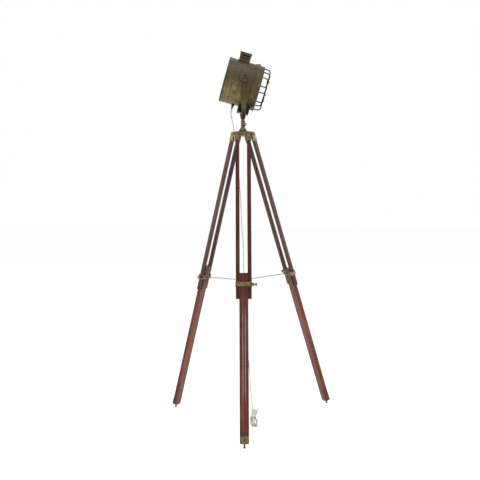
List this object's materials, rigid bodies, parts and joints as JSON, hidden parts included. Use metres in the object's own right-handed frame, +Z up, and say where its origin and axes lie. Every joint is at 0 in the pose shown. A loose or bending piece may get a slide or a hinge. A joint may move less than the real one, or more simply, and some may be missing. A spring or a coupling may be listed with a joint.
{
  "type": "tripod floor lamp",
  "caption": "Adjustable floor lamp: a drum-shaped searchlight head with a glazed door and a wire guard, held in a fork on a folding wooden tripod with sliding lower legs.",
  "frame": {"origin": "on the floor, under the middle of the box round the whole lamp", "axes": "+Z up, +X the way the lamp points, +Y to its left"},
  "size_m": [0.7426, 0.612, 1.5983],
  "materials": {
    "rail_wood": "satin",
    "bar_wood": "satin",
    "hub_brass": "satin",
    "bolt_brass": "satin",
    "knob_brass": "polished",
    "ferrule_brass": "satin",
    "clamp_brass": "satin",
    "plate_brass": "satin",
    "spike_steel": "satin",
    "chain_brass": "satin",
    "fork_bronze": "satin",
    "stem_brass": "satin",
    "drum_bronze": "satin",
    "cover_bronze": "satin",
    "rivet_steel": "satin",
    "vent_bronze": "satin",
    "lid_bronze": "satin",
    "low_vent_bronze": "satin",
    "tilt_knob_brown": "satin",
    "reflector_aluminium": "polished",
    "holder_black": "gloss",
    "bracket_steel": "satin",
    "bulb_glass": "frosted",
    "cord_ivory": "satin",
    "spring_steel": "satin",
    "hinge_brass": "satin",
    "gland_rubber": "matte",
    "door_bronze": "satin",
    "door_glass": "polished",
    "guard_wire_dark": "satin",
    "nut_copper": "polished",
    "tie_black": "matte",
    "plug_ivory": "gloss"
  },
  "bodies": {
    "hub": {"hub_casting": "hub_brass", "hinge_bolts": "bolt_brass", "hinge_nuts": "bolt_brass", "cord_drop": "cord_ivory", "cord_hank": "cord_ivory", "cord_tail": "cord_ivory", "hank_tie": "tie_black", "plug": "plug_ivory"},
    "pan_lock": {"pan_screw": "knob_brass"},
    "fork": {"fork": "fork_bronze", "fork_stem": "stem_brass", "stem_nut": "bolt_brass", "cord_upper": "cord_ivory"},
    "head": {"drum_shell": "drum_bronze", "rear_cover": "cover_bronze", "rear_rivets": "rivet_steel", "trunnion_bolts": "bolt_brass", "top_vent": "vent_bronze", "top_vent_lid": "lid_bronze", "bottom_vent": "low_vent_bronze", "reflector": "reflector_aluminium", "lampholder": "holder_black", "holder_bracket": "bracket_steel", "bulb": "bulb_glass", "inner_lead": "cord_ivory", "door_catch": "spring_steel", "hinge_leaf": "hinge_brass", "hinge_pin": "hinge_brass", "cord_gland": "gland_rubber"},
    "tilt_lock_near": {"tilt_knob_near": "tilt_knob_brown"},
    "tilt_lock_far": {"tilt_knob_far": "tilt_knob_brown"},
    "door": {"door_ring": "door_bronze", "door_glass": "door_glass", "glass_clips": "spring_steel", "wire_guard": "guard_wire_dark", "guard_nuts": "nut_copper"},
    "leg_front": {"rails_front": "rail_wood", "ferrules_front": "ferrule_brass", "clamp_front": "clamp_brass"},
    "lower_leg_front": {"lower_bar_front": "bar_wood", "foot_plate_front": "plate_brass", "spike_front": "spike_steel"},
    "leg_lock_front": {"clamp_screw_front": "knob_brass"},
    "spreader_front": {"chain_front": "chain_brass"},
    "leg_left": {"rails_left": "rail_wood", "ferrules_left": "ferrule_brass", "clamp_left": "clamp_brass"},
    "lower_leg_left": {"lower_bar_left": "bar_wood", "foot_plate_left": "plate_brass", "spike_left": "spike_steel"},
    "leg_lock_left": {"clamp_screw_left": "knob_brass"},
    "spreader_left": {"chain_left": "chain_brass"},
    "leg_right": {"rails_right": "rail_wood", "ferrules_right": "ferrule_brass", "clamp_right": "clamp_brass"},
    "lower_leg_right": {"lower_bar_right": "bar_wood", "foot_plate_right": "plate_brass", "spike_right": "spike_steel"},
    "leg_lock_right": {"clamp_screw_right": "knob_brass"},
    "spreader_right": {"chain_right": "chain_brass"}
  },
  "joints": [
    {"name": "pan", "type": "hinge", "parent": "hub", "child": "fork", "pos_m": [-0.0526, 0.06851, 1.303], "axis": [0, 0, 1], "range_deg": [-90, 90]},
    {"name": "pan_lock_turn", "type": "hinge", "parent": "hub", "child": "pan_lock", "pos_m": [-0.0526, 0.06851, 1.291], "axis": [0.6018, -0.7986, 0], "range_deg": [0, 360]},
    {"name": "tilt", "type": "hinge", "parent": "fork", "child": "head", "pos_m": [-0.0526, 0.06851, 1.473], "axis": [0, 1, 0], "range_deg": [-60, 45], "deforming": ["cord_upper"]},
    {"name": "tilt_lock_near_turn", "type": "hinge", "parent": "head", "child": "tilt_lock_near", "pos_m": [-0.0526, 0.06851, 1.473], "axis": [0, -1, 0], "range_deg": [0, 360]},
    {"name": "tilt_lock_far_turn", "type": "hinge", "parent": "head", "child": "tilt_lock_far", "pos_m": [-0.0526, 0.06851, 1.473], "axis": [0, 1, 0], "range_deg": [0, 360]},
    {"name": "door_hinge", "type": "hinge", "parent": "head", "child": "door", "pos_m": [0.01985, 0.06851, 1.54527], "axis": [0, -1, 0], "range_deg": [0, 100]},
    {"name": "fold_front", "type": "hinge", "parent": "hub", "child": "leg_front", "pos_m": [-0.05373, 0.03603, 1.252], "axis": [0.9994, -0.0349, 0], "range_deg": [0, 15]},
    {"name": "slide_front", "type": "slide", "parent": "leg_front", "child": "lower_leg_front", "axis": [0.009, 0.2587, 0.9659], "range_m": [-0.02, 0.52]},
    {"name": "leg_lock_front_turn", "type": "hinge", "parent": "leg_front", "child": "leg_lock_front", "pos_m": [-0.05959, -0.13184, 0.62511], "axis": [0.9994, -0.0349, 0], "range_deg": [0, 360]},
    {"name": "hang_front", "type": "hinge", "parent": "leg_front", "child": "spreader_front", "pos_m": [-0.05905, -0.11635, 0.62096], "axis": [0.9994, -0.0349, 0], "range_deg": [-104.86, 0]},
    {"name": "fold_left", "type": "hinge", "parent": "hub", "child": "leg_left", "pos_m": [-0.08016, 0.08573, 1.252], "axis": [-0.5299, -0.848, 0], "range_deg": [0, 14.6]},
    {"name": "slide_left", "type": "slide", "parent": "leg_left", "child": "lower_leg_left", "axis": [0.2138, -0.1336, 0.9677], "range_m": [-0.02, 0.52]},
    {"name": "leg_lock_left_turn", "type": "hinge", "parent": "leg_left", "child": "leg_lock_left", "pos_m": [-0.21889, 0.17242, 0.62396], "axis": [-0.5299, -0.848, 0], "range_deg": [0, 360]},
    {"name": "hang_left", "type": "hinge", "parent": "leg_left", "child": "spreader_left", "pos_m": [-0.20572, 0.16419, 0.61991], "axis": [-0.5299, -0.848, 0], "range_deg": [-104.79, 0]},
    {"name": "fold_right", "type": "hinge", "parent": "hub", "child": "leg_right", "pos_m": [-0.0239, 0.08376, 1.252], "axis": [-0.4695, 0.8829, 0], "range_deg": [0, 19.1]},
    {"name": "slide_right", "type": "slide", "parent": "leg_right", "child": "lower_leg_right", "axis": [-0.2889, -0.1536, 0.9449], "range_m": [-0.02, 0.52]},
    {"name": "leg_lock_right_turn", "type": "hinge", "parent": "leg_right", "child": "leg_lock_right", "pos_m": [0.1636, 0.18346, 0.63873], "axis": [-0.4695, 0.8829, 0], "range_deg": [0, 360]},
    {"name": "hang_right", "type": "hinge", "parent": "leg_right", "child": "spreader_right", "pos_m": [0.15021, 0.17634, 0.63348], "axis": [-0.4695, 0.8829, 0], "range_deg": [-105.89, 0]}
  ],
  "couplings": [
    {"joint": "hang_front", "follows": "fold_front", "ratio": -6.9573},
    {"joint": "hang_left", "follows": "fold_left", "ratio": -7.143},
    {"joint": "hang_right", "follows": "fold_right", "ratio": -5.5177}
  ]
}
